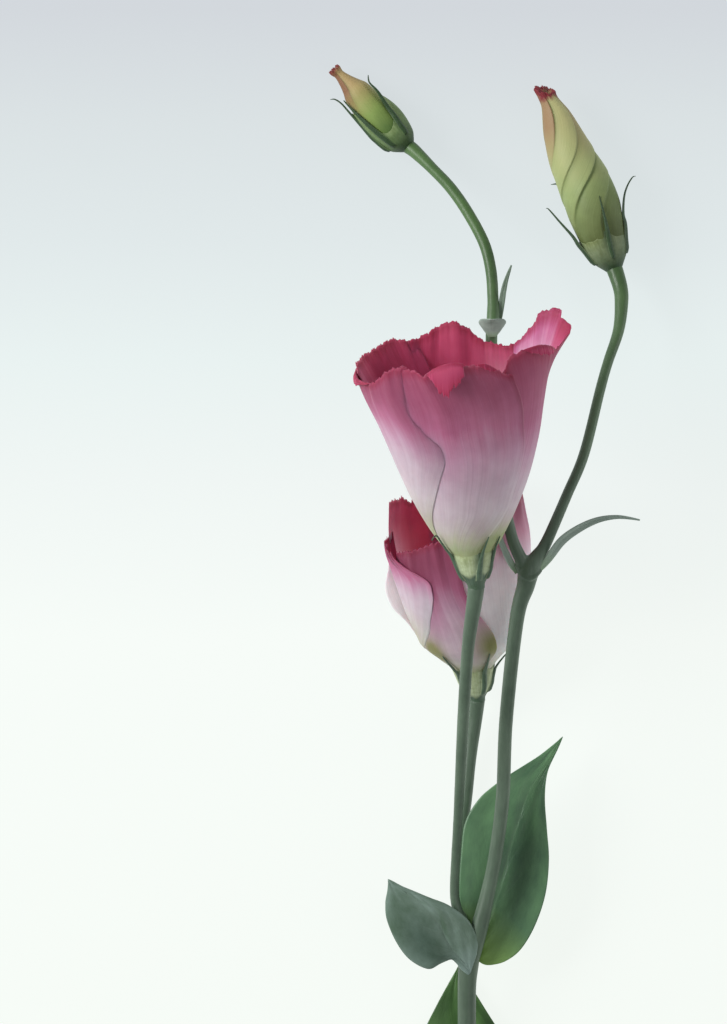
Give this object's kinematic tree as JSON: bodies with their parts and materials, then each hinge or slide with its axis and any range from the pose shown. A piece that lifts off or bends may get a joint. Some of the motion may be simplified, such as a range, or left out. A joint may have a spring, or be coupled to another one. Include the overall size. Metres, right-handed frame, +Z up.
{
  "type": "lisianthus flower",
  "caption": "Cut lisianthus stem lying down, forked, with two open frilled blooms, closed buds with awl sepals, and smooth pointed leaves.",
  "frame": {"origin": "middle of the bounding box in plan, on the surface that the stem lies on", "axes": "+Y from the cut end towards the buds, +Z up from the surface, +X to the side of the larger bud"},
  "size_m": [0.0776, 0.2866, 0.0865],
  "materials": {
    "stem": "smooth grey-green stem, waxy",
    "leaf": "smooth blue-green leaf, waxy, faint veins",
    "sepal": "smooth green sepal with a pale membrane",
    "petal": "satin petal, crimson rim to lilac white base",
    "pistil": "matt yellow green",
    "bud": "satin cream-green bud with pink-brown margins"
  },
  "bodies": {
    "root": {"branched_stem": "stem", "right_leaf": "leaf", "left_leaf": "leaf", "lower_leaf": "leaf", "right_bract": "leaf", "left_bract": "leaf", "bud_bract_long": "leaf", "bud_bract_small": "leaf", "front_calyx": "sepal", "front_corolla": "petal", "front_pistil": "pistil", "back_calyx": "sepal", "back_corolla": "petal", "back_pistil": "pistil", "right_bud_calyx": "sepal", "right_bud_corolla": "bud", "top_bud_calyx": "sepal", "top_bud_corolla": "bud"}
  },
  "joints": []
}
